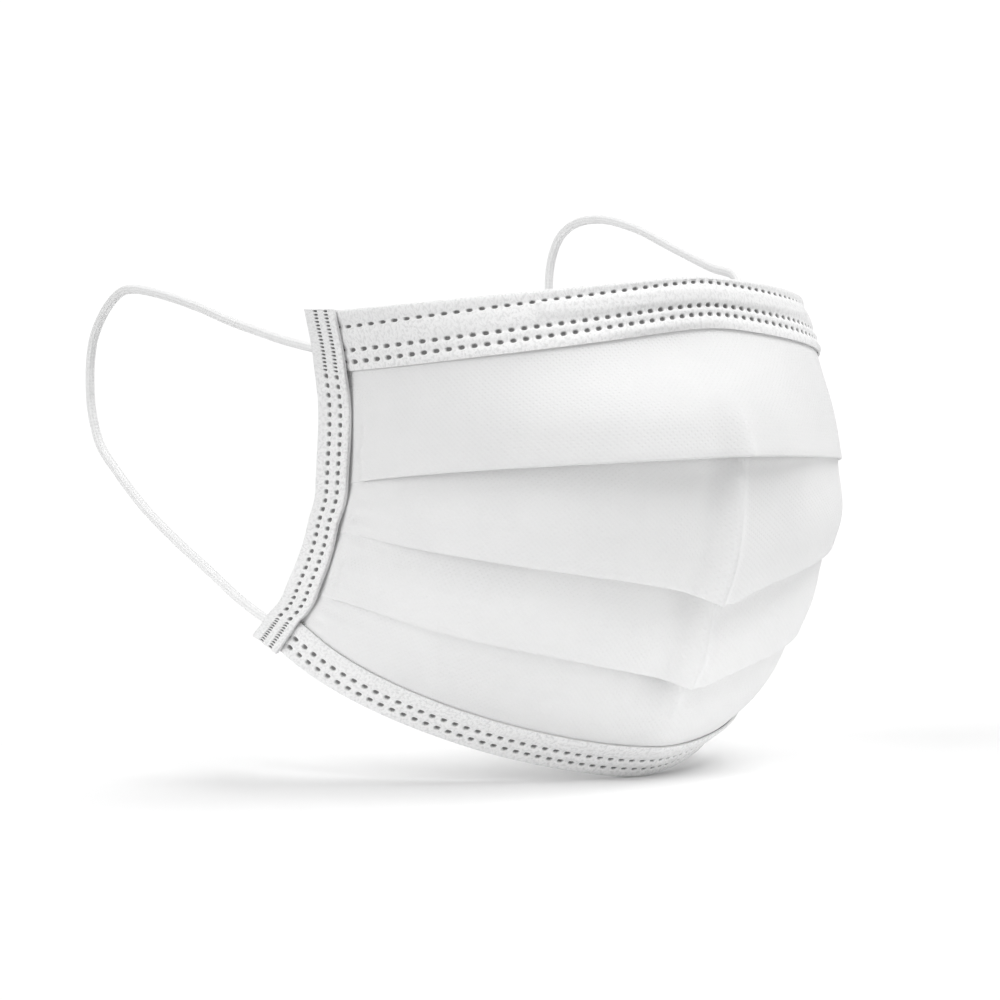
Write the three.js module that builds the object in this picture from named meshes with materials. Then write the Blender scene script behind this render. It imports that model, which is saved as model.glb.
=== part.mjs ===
// A three-ply pleated face mask, opened out as it sits on a face, with its two ear loops.
// Millimetres, +Z up. The front faces -Y, the wearer is on the +Y side, and left is -X.
// The origin is the middle of the opening that the face goes into.
import * as THREE from "three";

// Driving dimensions
const CLOTH = 1.0; // thickness of every cloth wall
const GAP = 0.3; // clearance between neighbouring pieces
const SIDE_X = 60; // from the middle to a side binding's inner edge
const HEM_X = 62; // from the middle to its outer edge, the hem
const PLEAT_STEP = 1.2; // how far each pleat's fold stands over the cloth below it
const PRESSED_STEP = 0.5; // the same where a side binding presses the pleats flat
const CLOTH_END = 1.8; // how far cloth and bands reach into a binding: 1 is its inner edge, 2 its hem
const NOSE_BAND_BACK = 8; // height of the nose band's leg behind the cloth
const CHIN_BAND_BACK = 8;
const WIRE = { top: 3.4, height: 3, thickness: 0.6, reach: 0.43 }; // reach is a share of the half width
const RIDGE = { foot: 1.4, crest: 0.7, wall: 0.4 }; // how far the nose band's bump runs past the wire
const FOLD_ROUND = 0.6; // how much the outside of a folded strip's turn is rounded
const LOOP_DIAMETER = 2.4;

// Where the bindings open wider over the bands, as levels between which they change.
const OVER_BANDS = {
  noseFront: [1.02, 1.15],
  noseBack: [0.6, 0.8],
  chinFront: [4.7, 4.96],
  chinBack: [4.95, 5.2],
};

// The cloth passes through seven level lines, from the top edge down to the chin.
// noseY and noseZ place a line on the middle plane, sideY and sideZ at the binding's inner
// edge, hemY and hemZ at the hem. bluntness rounds the line's plan at the nose, cheek squares
// it at the sides, bend says how late it drops to its side height, and sag bows it upwards.
const PLACES = ["noseY", "noseZ", "sideY", "sideZ", "hemY", "hemZ"];
const LEVEL_COLUMNS = [...PLACES, "bluntness", "cheek", "bend", "sag"];
const LEVEL_ROWS = [
  [-72, 57.5, -16, 50, -6, 50, 2.1, 2.1, 1.6, -1.5], // top edge
  [-76, 45.5, -20.5, 36, -10, 37, 2.4, 2.5, 1.6, -2], // nose band's lower edge
  [-86, 17, -20.5, 10.5, -10, 10.5, 2.3, 2.7, 1.8, 0], // first pleat's fold
  [-79, -16, -16, -1, -6.5, 0.5, 2.2, 2.9, 2.5, 5.5], // second pleat's fold
  [-69, -35.5, -8, -16, 3, -15, 2, 2.7, 1.6, 3.5], // third pleat's fold
  [-59.5, -50, -0.5, -23, 9, -20.5, 1.4, 1.9, 1.7, -0.5], // chin band's upper edge
  [-49, -58, 8, -30.5, 16, -26, 1.6, 1.9, 1.6, 0], // chin edge
];
const LEVELS = LEVEL_ROWS.map((row) => Object.fromEntries(row.map((value, i) => [LEVEL_COLUMNS[i], value])));
const TOP = 0;
const NOSE_BAND_EDGE = 1;
const CHIN_BAND_EDGE = 5;
const CHIN = 6;

// Each pleat facet: the level lines between which its cloth lies, and where it starts to stand out.
const FACETS = [
  { from: TOP, risesFrom: NOSE_BAND_EDGE, to: 2, folded: true },
  { from: 2, risesFrom: 2, to: 3, folded: true },
  { from: 3, risesFrom: 3, to: 4, folded: true },
  { from: 4, risesFrom: 4, to: CHIN, folded: false },
];

const ROWS_PER_LEVEL = 3; // rows of faces between two level lines
const FRONT_STATIONS = 44; // sections across the front
const WIRE_STATIONS = 20;
const BINDING_LEVELS = 36; // sections down a binding
const LOOP_STEPS = 76; // sections along an ear loop

const COLOURS = { cloth: 0xe9e9ea, band: 0xf1f1f1, wire: 0xd8dadd, elastic: 0xf4f4f2 };

const lerp = THREE.MathUtils.lerp;
const ramp = THREE.MathUtils.smoothstep;

// Points of one level line on the right-hand half, from the nose to the side, with the share
// of its length at which each lies.
function levelLine(row) {
  const steps = 64;
  const points = [];
  for (let i = 0; i <= steps; i++) {
    const angle = (i / steps) * (Math.PI / 2);
    const across = i === steps ? 1 : Math.sin(angle) ** (2 / row.bluntness);
    const forward = i === steps ? 0 : Math.cos(angle) ** (2 / row.cheek);
    points.push({ x: SIDE_X * across, y: lerp(row.sideY, row.noseY, forward), share: 0 });
  }
  for (let i = 1; i <= steps; i++) {
    const step = Math.hypot(points[i].x - points[i - 1].x, points[i].y - points[i - 1].y);
    points[i].share = points[i - 1].share + step;
  }
  const length = points[steps].share;
  return points.map((p) => {
    const share = p.share / length;
    const bow = 4 * row.sag * share * (1 - share);
    const height = lerp(row.noseZ, row.sideZ, share ** row.bend) + bow;
    return { share, at: new THREE.Vector3(p.x, p.y, height) };
  });
}

const LINES = LEVELS.map(levelLine);
const sidePoints = LEVELS.map((row) => new THREE.Vector3(SIDE_X, row.sideY, row.sideZ));
const hemPoints = LEVELS.map((row) => new THREE.Vector3(HEM_X, row.hemY, row.hemZ));
const sideCurve = new THREE.CatmullRomCurve3(sidePoints, false, "centripetal");
const hemCurve = new THREE.CatmullRomCurve3(hemPoints, false, "centripetal");

// The point of level line `index` at a share of its length from the nose.
function onLine(index, share) {
  const line = LINES[index];
  let i = 1;
  while (i < line.length - 1 && line[i].share < share) i += 1;
  const [a, b] = [line[i - 1], line[i]];
  return a.at.clone().lerp(b.at, (share - a.share) / (b.share - a.share));
}

// The cloth's middle surface. `across` runs from -1 at the left binding through 0 at the nose
// to 1 at the right one and on to 2 at the hem; `level` runs down through the level lines.
// Facets are straight between their folds, and the side edge is one smooth curve.
function surface(across, level) {
  const share = Math.min(Math.abs(across), 1);
  const index = Math.min(Math.floor(level), CHIN - 1);
  const part = level - index;
  const point = onLine(index, share).lerp(onLine(index + 1, share), part);
  const smooth = sideCurve.getPoint(level / CHIN);
  const straight = sidePoints[index].clone().lerp(sidePoints[index + 1], part);
  point.addScaledVector(smooth.clone().sub(straight), share ** 4);
  if (Math.abs(across) > 1) {
    point.copy(smooth).lerp(hemCurve.getPoint(level / CHIN), Math.abs(across) - 1);
  }
  if (across < 0) point.x = -point.x;
  return point;
}

// The direction out of the cloth towards the front, blended over the folds.
function outward(across, level) {
  const aside = 0.02;
  const along = 0.35;
  const above = surface(across, Math.max(level - along, TOP));
  const down = surface(across, Math.min(level + along, CHIN)).sub(above);
  const right = surface(across + aside, level).sub(surface(across - aside, level));
  return down.cross(right).normalize();
}

// A point `down` millimetres below a level line (above it if negative) and `out` from the surface.
function place(across, level, down, out) {
  const from = down < 0 ? level - 1 : level;
  const facet = down === 0 ? 1 : surface(across, from).distanceTo(surface(across, from + 1));
  const at = level + down / facet;
  return surface(across, at).addScaledVector(outward(across, at), out);
}

// One closed solid through a row of alike sections. A section is a ribbon: a list of pairs of
// points, one on the wall's outer face and one on its inner face.
function solidThrough(sections) {
  const pairs = sections[0].length;
  const size = 2 * pairs;
  const loops = sections.map((ribbon) => {
    const outer = ribbon.map(([out]) => out);
    const inner = ribbon.map(([, within]) => within);
    return [...outer, ...inner.reverse()];
  });
  const positions = loops.flat().flatMap((p) => p.toArray());
  const faces = [];
  for (let s = 0; s + 1 < loops.length; s++) {
    for (let i = 0; i < size; i++) {
      const a = s * size + i;
      const b = s * size + ((i + 1) % size);
      faces.push(a, b, b + size, a, b + size, a + size);
    }
  }
  const last = (loops.length - 1) * size;
  for (let i = 0; i + 1 < pairs; i++) {
    const [a, b, c, d] = [i, i + 1, size - 2 - i, size - 1 - i];
    faces.push(a, c, b, a, d, c);
    faces.push(last + a, last + b, last + c, last + a, last + c, last + d);
  }
  const geometry = new THREE.BufferGeometry();
  geometry.setAttribute("position", new THREE.Float32BufferAttribute(positions, 3));
  geometry.setIndex(facesOut(positions, faces));
  geometry.computeVertexNormals();
  return geometry;
}

// The faces, turned round if they enclose a negative volume.
function facesOut(positions, faces) {
  const corner = (i) => new THREE.Vector3().fromArray(positions, 3 * i);
  let volume = 0;
  for (let i = 0; i < faces.length; i += 3) {
    volume += corner(faces[i]).dot(corner(faces[i + 1]).cross(corner(faces[i + 2])));
  }
  return volume < 0 ? faces.reverse() : faces;
}

// Evenly spaced numbers from `start` to `end`.
function spaced(start, end, steps) {
  return Array.from({ length: steps + 1 }, (_, i) => lerp(start, end, i / steps));
}

// Stations from one binding to the other: a few inside each binding, the rest over the front.
function stationsAcross(reach, steps) {
  const within = reach > 1 ? [reach, (1 + reach) / 2] : [];
  const front = spaced(-Math.min(reach, 1), Math.min(reach, 1), steps);
  return [...within.map((a) => -a), ...front, ...within.reverse()];
}

// A strip swept across the mask. Its section is a ribbon whose points are each a level, then
// millimetres down from it and millimetres out.
function sweptStrip(ribbonAt, stations) {
  return solidThrough(stations.map((across) => {
    const ribbon = ribbonAt(across);
    return ribbon.map(([outer, inner]) => [place(across, ...outer), place(across, ...inner)]);
  }));
}

// The panel's wall, down over every facet and fold.
function panelRibbon(across) {
  const step = lerp(PLEAT_STEP, PRESSED_STEP, ramp(Math.abs(across), 0.85, 1));
  const inset = CLOTH + GAP; // the cloth's edges stop this far inside the bands' folds
  const half = CLOTH / 2;
  const ribbon = [];
  for (const facet of FACETS) {
    for (const row of spaced(0, 1, ROWS_PER_LEVEL * (facet.to - facet.from))) {
      const level = lerp(facet.from, facet.to, row);
      const risen = Math.max(0, (level - facet.risesFrom) / (facet.to - facet.risesFrom));
      const rise = facet.folded ? risen : 0;
      const end = level === TOP ? inset : level === CHIN ? -inset : 0;
      const atFold = (level === facet.to && facet.folded) || (row === 0 && facet.from !== TOP);
      ribbon.push([[level, end, step * rise + half], [level, atFold ? -CLOTH : end, step * rise - half]]);
    }
  }
  return ribbon;
}

// The nose band: a strip folded over the cloth's top edge, raised where it runs over the wire.
function noseBandRibbon(across) {
  const face = CLOTH / 2 + GAP;
  const out = face + CLOTH;
  const beyond = ramp(Math.abs(across), WIRE.reach + 0.01, WIRE.reach + 0.05);
  const lift = (1 - beyond) * (WIRE.thickness + GAP);
  const top = WIRE.top;
  const bottom = WIRE.top + WIRE.height;
  const { foot, crest, wall } = RIDGE;
  return [
    [[NOSE_BAND_EDGE, 0, out], [NOSE_BAND_EDGE, 0, face]],
    [[TOP, bottom + foot, out], [TOP, bottom + foot - wall, face]],
    [[TOP, bottom + crest, out + lift], [TOP, bottom + crest - wall, face + lift]],
    [[TOP, top - crest, out + lift], [TOP, top - crest + wall, face + lift]],
    [[TOP, top - foot, out], [TOP, top - foot + wall, face]],
    ...foldOver(TOP, 1, face),
    [[TOP, NOSE_BAND_BACK, -out], [TOP, NOSE_BAND_BACK, -face]],
  ];
}

// The rounded turn of a band over a cloth edge, from the front face to the back one.
function foldOver(level, down, face) {
  const round = FOLD_ROUND * down;
  const out = face + CLOTH;
  return [
    [[level, round, out], [level, down * CLOTH, face]],
    [[level, 0, out - FOLD_ROUND], [level, down * CLOTH, face / 3]],
    [[level, 0, FOLD_ROUND - out], [level, down * CLOTH, -face / 3]],
    [[level, round, -out], [level, down * CLOTH, -face]],
  ];
}

// The flat wire between the nose band and the cloth.
function noseWireRibbon() {
  const inside = CLOTH / 2 + GAP;
  const outside = inside + WIRE.thickness;
  const bottom = WIRE.top + WIRE.height;
  return [
    [[TOP, WIRE.top, outside], [TOP, WIRE.top, inside]],
    [[TOP, bottom, outside], [TOP, bottom, inside]],
  ];
}

// The chin band: a strip folded under the cloth's bottom edge.
function chinBandRibbon() {
  const face = CLOTH / 2 + GAP;
  const out = face + CLOTH;
  const middle = (CHIN_BAND_EDGE + CHIN) / 2;
  return [
    [[CHIN_BAND_EDGE, 0, out], [CHIN_BAND_EDGE, 0, face]],
    [[middle, 0, out], [middle, 0, face]],
    ...foldOver(CHIN, -1, face),
    [[CHIN, -CHIN_BAND_BACK, -out], [CHIN, -CHIN_BAND_BACK, -face]],
  ];
}

// A side binding: a strip folded round the side edge from the top edge to the chin, wider open
// where the bands run into it. `side` is -1 for the left one and 1 for the right one.
function sideBinding(side) {
  const roof = 0.88; // where the fold's inside lies, as a share of the binding's width
  const shoulder = 0.93; // where its rounded outside starts
  const sections = spaced(TOP, CHIN, BINDING_LEVELS).map((level) => {
    const frontBand = 1 - ramp(level, ...OVER_BANDS.noseFront) + ramp(level, ...OVER_BANDS.chinFront);
    const backBand = 1 - ramp(level, ...OVER_BANDS.noseBack) + ramp(level, ...OVER_BANDS.chinBack);
    const overPleats = CLOTH / 2 + PRESSED_STEP + GAP;
    const overBand = CLOTH / 2 + GAP + CLOTH + GAP;
    const front = lerp(overPleats, overBand, frontBand);
    const back = -(CLOTH / 2 + GAP + backBand * (CLOTH + GAP));
    const spot = (width, out) => {
      const across = side * (1 + width);
      return surface(across, level).addScaledVector(outward(across, level), out);
    };
    return [
      [spot(0, front + CLOTH), spot(0, front)],
      [spot(shoulder, front + CLOTH), spot(roof, front)],
      [spot(1, front + CLOTH - FOLD_ROUND), spot(roof, front / 3)],
      [spot(1, back - CLOTH + FOLD_ROUND), spot(roof, back / 3)],
      [spot(shoulder, back - CLOTH), spot(roof, back)],
      [spot(0, back - CLOTH), spot(0, back)],
    ];
  });
  return solidThrough(sections);
}

// The ear loops' routes, from the weld at the top of a binding round to the one at its foot.
const LEFT_LOOP = [
  [-56, -13, 39.3], [-56.2, -6, 40.3], [-57.4, 1, 41.5], [-59, 9, 43], [-60, 18, 45],
  [-61, 29, 47.5], [-61.5, 40.5, 50.5], [-62, 52, 53], [-62.5, 62, 54.7], [-63, 69.5, 55.5],
  [-63, 75.5, 55], [-63, 81.5, 52], [-63, 86.5, 47.5], [-63, 89.5, 43], [-63, 91, 37.5],
  [-63, 91.3, 32], [-63, 90.8, 26.5], [-63, 89, 21], [-63, 86, 16], [-62.8, 79, 10.3],
  [-62.6, 72, 5.2], [-62.2, 65, 0.5], [-61.6, 52, -6.5], [-60.8, 39.5, -12.7], [-59.6, 28.5, -18.7],
  [-57.8, 19, -23.3], [-56.2, 14, -25], [-55.3, 9, -26.2], [-55.2, 5, -26.6],
];
const RIGHT_LOOP = [
  [55.2, -14, 37], [55.2, -14.5, 43], [55.3, -15.5, 49], [56.6, -17.3, 53], [58, -18, 56.5],
  [59, -15.3, 59], [59.3, -7.5, 60.8], [60.2, 1.5, 63.4], [60.8, 11, 66.5], [61.6, 24.5, 71],
  [62, 31, 72.6], [62.4, 38.5, 74], [62.6, 45, 74.4], [62.8, 51.5, 73.9], [63, 56.5, 72.4],
  [63, 60.5, 69.7], [63, 63, 66], [63, 64.5, 61.5], [63, 65, 56], [63, 64.8, 48],
  [63, 63.5, 39], [63, 61, 30], [62.8, 57.5, 21], [62.5, 52.5, 12], [62, 46, 3.5],
  [61.2, 38, -4.5], [60, 30, -11.5], [58.4, 23, -17.5], [56.8, 17.5, -22.3], [55.7, 13, -25],
  [55.3, 9, -26.2], [55.2, 5, -26.6],
];

// A round cord along a route, as an eight-sided tube.
function earLoop(route) {
  const curveSegments = 4; // an arc shape is cut into twice as many sides
  const path = new THREE.CatmullRomCurve3(route.map((p) => new THREE.Vector3(...p)), false, "centripetal");
  const section = new THREE.Shape();
  section.absarc(0, 0, LOOP_DIAMETER / 2, 0, 2 * Math.PI, false);
  const options = { steps: LOOP_STEPS, curveSegments, bevelEnabled: false, extrudePath: path };
  return new THREE.ExtrudeGeometry(section, options);
}

// A named mesh of the given finish.
function piece(name, geometry, color, roughness, metalness = 0) {
  const mesh = new THREE.Mesh(geometry, new THREE.MeshStandardMaterial({ color, roughness, metalness }));
  mesh.name = name;
  return mesh;
}

const mask = new THREE.Group();
const front = stationsAcross(CLOTH_END, FRONT_STATIONS);
mask.add(piece("pleated_panel", sweptStrip(panelRibbon, front), COLOURS.cloth, 0.9));
mask.add(piece("nose_band", sweptStrip(noseBandRibbon, front), COLOURS.band, 0.85));
const middle = stationsAcross(WIRE.reach, WIRE_STATIONS);
mask.add(piece("nose_wire", sweptStrip(noseWireRibbon, middle), COLOURS.wire, 0.4, 1));
mask.add(piece("chin_band", sweptStrip(chinBandRibbon, front), COLOURS.band, 0.85));
mask.add(piece("side_binding_left", sideBinding(-1), COLOURS.band, 0.85));
mask.add(piece("side_binding_right", sideBinding(1), COLOURS.band, 0.85));
mask.add(piece("ear_loop_left", earLoop(LEFT_LOOP), COLOURS.elastic, 0.95));
mask.add(piece("ear_loop_right", earLoop(RIGHT_LOOP), COLOURS.elastic, 0.95));

export default mask;
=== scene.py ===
"""A three-ply pleated face mask with welded bands and ear loops, opened out as it sits on a face.

The front faces -Y, the wearer is on the +Y side, and left is -X. Shapes are worked out in
millimetres and turned into metres where a mesh is made.
"""

import logging
import math
from dataclasses import dataclass, field
from enum import Enum

import bmesh
import bpy
import numpy as np
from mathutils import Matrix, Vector


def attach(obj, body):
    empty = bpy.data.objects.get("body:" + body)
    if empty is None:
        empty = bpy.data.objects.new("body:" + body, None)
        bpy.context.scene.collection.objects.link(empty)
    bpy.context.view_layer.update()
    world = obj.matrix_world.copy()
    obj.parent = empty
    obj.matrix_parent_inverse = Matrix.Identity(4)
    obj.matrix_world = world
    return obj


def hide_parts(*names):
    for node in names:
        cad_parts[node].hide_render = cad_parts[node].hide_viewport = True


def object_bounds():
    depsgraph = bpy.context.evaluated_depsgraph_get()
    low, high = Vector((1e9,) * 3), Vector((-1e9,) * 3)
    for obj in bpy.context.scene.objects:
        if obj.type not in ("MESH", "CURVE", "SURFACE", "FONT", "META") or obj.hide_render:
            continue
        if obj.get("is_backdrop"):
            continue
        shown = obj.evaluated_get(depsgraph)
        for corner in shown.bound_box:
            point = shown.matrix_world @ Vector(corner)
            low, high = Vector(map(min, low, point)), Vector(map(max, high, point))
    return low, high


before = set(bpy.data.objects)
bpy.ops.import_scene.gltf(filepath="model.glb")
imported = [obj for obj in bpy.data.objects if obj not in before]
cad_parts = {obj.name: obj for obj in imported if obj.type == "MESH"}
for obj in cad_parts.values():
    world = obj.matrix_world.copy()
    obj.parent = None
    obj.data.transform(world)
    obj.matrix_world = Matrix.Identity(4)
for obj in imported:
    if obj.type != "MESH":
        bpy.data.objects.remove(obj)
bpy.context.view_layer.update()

MM = 0.001  # metres in a millimetre
BODY = "root"
CLOTH_UV = "Cloth"  # millimetres along and across the cloth
WELD_UV = "Weld"  # pitches along a row of welds, and distance from it in half heights of a weld

log = logging.getLogger("face_mask")


class Slot(Enum):
    """The record's material slots."""

    PANEL = "panel_cloth"
    BAND = "band_cloth"
    ELASTIC = "elastic"


def blend(low: float, high: float, share: np.ndarray | float) -> np.ndarray:
    """Returns the smooth step of `share` as it goes from `low` to `high`.

    Args:
        low: Where the step starts.
        high: Where it ends.
        share: The values to step.

    Returns:
        Values from 0 to 1.
    """
    t = np.clip((np.asarray(share, float) - low) / (high - low), 0.0, 1.0)
    return t * t * (3.0 - 2.0 * t)


def lerp(a: np.ndarray | float, b: np.ndarray | float, share: np.ndarray | float) -> np.ndarray:
    """Returns the value `share` of the way from `a` to `b`."""
    return a + (b - a) * share


class Spline:
    """A centripetal Catmull-Rom curve through points."""

    def __init__(self, points: list[tuple[float, float, float]] | np.ndarray) -> None:
        """Works out the cubic of each stretch.

        Args:
            points: The points that the curve passes through.
        """
        p = np.asarray(points, float)
        p = np.vstack([2 * p[0] - p[1], p, 2 * p[-1] - p[-2]])
        gap = np.linalg.norm(np.diff(p, axis=0), axis=1)[:, None] ** 0.5
        before, here, after = gap[:-2], gap[1:-1], gap[2:]
        a, b, c, d = p[:-3], p[1:-2], p[2:-1], p[3:]
        start = ((b - a) / before - (c - a) / (before + here) + (c - b) / here) * here
        end = ((c - b) / here - (d - b) / (here + after) + (d - c) / after) * here
        self.cubics = np.stack([b, start, -3 * b + 3 * c - 2 * start - end, 2 * b - 2 * c + start + end])
        self.stretches = len(here)

    def at(self, share: np.ndarray) -> np.ndarray:
        """Returns the points at shares of the way through the curve's stretches.

        Args:
            share: Values from 0 to 1.

        Returns:
            One point for each value.
        """
        t = np.clip(share, 0.0, 1.0) * self.stretches
        index = np.minimum(t.astype(int), self.stretches - 1)
        t = (t - index)[..., None]
        c0, c1, c2, c3 = self.cubics[:, index]
        return c0 + t * (c1 + t * (c2 + t * c3))

    def evenly(self, step: float) -> np.ndarray:
        """Returns points evenly spaced along the curve.

        Args:
            step: About how far apart they are.

        Returns:
            One row for each point.
        """
        fine = self.at(np.linspace(0, 1, 40 * self.stretches))
        length = np.concatenate([[0], np.cumsum(np.linalg.norm(np.diff(fine, axis=0), axis=1))])
        wanted = np.linspace(0, length[-1], round(length[-1] / step) + 1)
        return np.stack([np.interp(wanted, length, fine[:, k]) for k in range(3)], axis=1)


@dataclass(frozen=True)
class LevelLine:
    """One level line of the cloth, from the nose to a side, in millimetres.

    nose_y and nose_z place it on the middle plane, side_y and side_z at the binding's inner edge,
    and hem_y and hem_z at the hem. bluntness rounds its plan at the nose, cheek squares it at
    the sides, bend says how late it drops to its side height, and sag bows it upwards, rounded at
    the nose by soft.
    """

    nose_y: float
    nose_z: float
    side_y: float
    side_z: float
    hem_y: float
    hem_z: float
    bluntness: float
    cheek: float
    bend: float
    sag: float
    soft: float = 0.0

    def trace(self, side_x: float) -> tuple[np.ndarray, np.ndarray]:
        """Traces the right-hand half.

        Args:
            side_x: Distance from the middle plane to the binding's inner edge.

        Returns:
            The share of the line's length at each point, and the points.
        """
        angle = np.linspace(0, math.pi / 2, 400)
        x = side_x * np.sin(angle) ** (2 / self.bluntness)
        forward = np.clip(np.cos(angle), 0, 1) ** (2 / self.cheek)
        y = lerp(self.side_y, self.nose_y, forward)
        share = np.concatenate([[0], np.cumsum(np.hypot(np.diff(x), np.diff(y)))])
        share /= share[-1]
        bow = 4 * self.sag * (np.hypot(share, self.soft) - self.soft) * (1 - share)
        z = lerp(self.nose_z, self.side_z, share**self.bend) + bow
        return share, np.stack([x, y, z], axis=1)


LEVELS = (
    LevelLine(-72, 57.5, -16, 50, -6, 50, 2.1, 2.1, 1.6, -2.1, 0.14),  # top edge
    LevelLine(-76, 45.5, -20.5, 36, -10, 37, 2.4, 2.5, 1.6, -2.8, 0.14),  # nose band's lower edge
    LevelLine(-86, 17, -20.5, 10.5, -10, 10.5, 2.3, 2.7, 1.8, 0),  # first pleat's fold
    LevelLine(-79, -16, -16, -1, -6.5, 0.5, 2.2, 2.9, 2.5, 5.5),  # second pleat's fold
    LevelLine(-69, -35.5, -8, -16, 3, -15, 2, 2.7, 1.6, 3.5),  # third pleat's fold
    LevelLine(-59.5, -50, -0.5, -23, 9, -20.5, 1.4, 1.9, 1.7, -0.5),  # chin band's upper edge
    LevelLine(-49, -58, 8, -30.5, 16, -26, 1.6, 1.9, 1.6, 0),  # chin edge
)
FOLDS = (2, 3, 4)
CHIN_BAND_EDGE = 5
CHIN = 6


@dataclass(frozen=True)
class Swell:
    """A soft place where the cloth stands out, or in where the height is below 0."""

    height: float  # millimetres
    across: float
    level: float
    reach_across: float
    reach_level: float

    def out(self, across: np.ndarray, level: np.ndarray) -> np.ndarray:
        """Returns how far it pushes the cloth out.

        Args:
            across: Places across the mask.
            level: Places down it.

        Returns:
            Millimetres at each place.
        """
        aside = (across - self.across) / self.reach_across
        below = (level - self.level) / self.reach_level
        return self.height * np.exp(-(aside**2) - below**2)


@dataclass(frozen=True)
class Drape:
    """How the worn cloth departs from its plain form, in millimetres."""

    half_width: float = 95.0
    bulges: tuple[float, ...] = (0.0, 0.7, 1.4, 0.9, 2.2, 0.0)  # of the cloth between two level lines
    ridge_levels: tuple[float, ...] = (0.0, 1.0, 1.5, 2.0, 2.2, 3.0, 4.0, 4.6, 5.2, 6.0)
    ridge_height: tuple[float, ...] = (0.0, 0.5, 2.0, 3.1, 3.6, 3.8, 3.4, 2.0, 0.5, 0.1)
    ridge_left: tuple[float, ...] = (16, 14, 11, 8, 5.5, 5, 5, 8, 12, 12)  # how fast it falls away
    ridge_right: tuple[float, ...] = (16, 14, 12, 11, 10, 10, 10, 11, 12, 12)
    ridge_round: tuple[float, ...] = (9, 7, 4.5, 2.5, 0.8, 0.5, 0.6, 2.5, 5, 6)
    ridge_aside: tuple[float, ...] = (0, 0, -1, -1.6, -1.8, -4.2, -4, -3, 0, 0)  # from the middle
    welt: float = 1.3  # a crisp fold on the ridge, and the hollow beside it
    welt_reach: float = 1.5
    hollow: float = 1.6
    hollow_reach: float = 3.6
    tip_levels: tuple[float, ...] = (1.5, 2.0, 3.0, 4.0, 4.8)
    tip_drop: tuple[float, ...] = (0.0, -0.2, 2.1, 1.3, 0.0)
    tip_reach: float = 5.5
    rise: tuple[float, ...] = (0.0, 0.0, 2.3, 2.5, 0.0)  # how much higher than plain the worn folds lie
    swells: tuple[Swell, ...] = (
        Swell(3.0, 0.34, 4.75, 0.24, 0.85),  # beside the chin
        Swell(-1.3, 0.36, 2.0, 0.22, 0.5),  # where the first fold runs out round the side
    )
    ripple: float = 0.22
    waves: int = 7
    wave_lengths: tuple[float, float] = (22.0, 60.0)
    wave_tilt: float = 0.9  # radians
    pucker: float = 0.3
    pucker_reach: float = 4.0
    pucker_length: float = 7.5
    seed: int = 7

    def out(self, across: np.ndarray, level: np.ndarray) -> np.ndarray:
        """Returns how far the cloth stands out of its plain form.

        Args:
            across: From -1 at the left binding to 1 at the right one.
            level: Level lines down from the top edge.

        Returns:
            Millimetres, 0 at the bindings.
        """
        index = np.clip(level.astype(int), 0, len(self.bulges) - 1)
        belly = np.asarray(self.bulges)[index] * np.sin(math.pi * (level - index))
        belly = belly * np.clip(1 - across**2, 0, 1)
        height, left, right, soft = (
            np.interp(level, self.ridge_levels, values)
            for values in (self.ridge_height, self.ridge_left, self.ridge_right, self.ridge_round)
        )
        away = self.from_ridge(across, level)
        from_crest = np.sqrt(away**2 + soft**2) - soft
        ridge = height * np.exp(-from_crest / np.where(away < 0, left, right))
        crisp = np.clip((height - 2.2) / 1.2, 0, 1)
        ridge += self.welt * crisp * np.exp(-((away / self.welt_reach) ** 2))
        beside = (away + self.welt_reach + self.hollow_reach) / self.hollow_reach
        ridge -= self.hollow * crisp * np.exp(-(beside**2))
        belly += sum(swell.out(across, level) for swell in self.swells)
        held = 1 - blend(0.955, 1.0, np.abs(across))
        return (belly + ridge + self.ripples(across, level)) * held

    def from_ridge(self, across: np.ndarray, level: np.ndarray) -> np.ndarray:
        """Returns how far to the right of the centre ridge places are, in millimetres."""
        return across * self.half_width - np.interp(level, self.ridge_levels, self.ridge_aside)

    def ripples(self, across: np.ndarray, level: np.ndarray) -> np.ndarray:
        """Returns the soft waves of the cloth and its puckers beside the bindings.

        Args:
            across: From -1 at the left binding to 1 at the right one.
            level: Level lines down from the top edge.

        Returns:
            Millimetres out of the plain form.
        """
        random = np.random.default_rng(self.seed)
        x = across * self.half_width
        y = level * 22.0
        total = np.zeros_like(x)
        for _ in range(self.waves):
            angle = random.uniform(-self.wave_tilt, self.wave_tilt)
            length = random.uniform(*self.wave_lengths)
            phase = random.uniform(0, 2 * math.pi)
            wave = 2 * math.pi * (x * math.cos(angle) + y * math.sin(angle)) / length
            total += self.ripple * random.uniform(0.4, 1) * np.sin(wave + phase)
        inside = np.clip(1 - np.abs(across), 0, 1) * self.half_width / self.pucker_reach
        envelope = inside * np.exp(1 - inside)
        wander = 0.8 * np.sin(y / 11 + np.sign(across)) + 0.5 * np.sin(y / 4.7)
        total += self.pucker * envelope * np.sin(2 * math.pi * y / self.pucker_length + wander)
        return total * (1 - 0.55 * (blend(0.9, 1.0, 1.9 - level) + blend(4.9, 5.0, level)))

    def drop(self, across: np.ndarray, level: np.ndarray) -> np.ndarray:
        """Returns how far below its plain place the cloth lies; the folds come down to a point.

        Args:
            across: From -1 at the left binding to 1 at the right one.
            level: Level lines down from the top edge.

        Returns:
            Millimetres, below 0 where the cloth lies higher.
        """
        depth = np.interp(level, self.tip_levels, self.tip_drop)
        rise = np.interp(level, self.tip_levels, self.rise)
        point = np.exp(-np.abs(self.from_ridge(across, level)) / self.tip_reach)
        return depth * point - rise * np.clip(1 - across**4, 0, 1)


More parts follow.
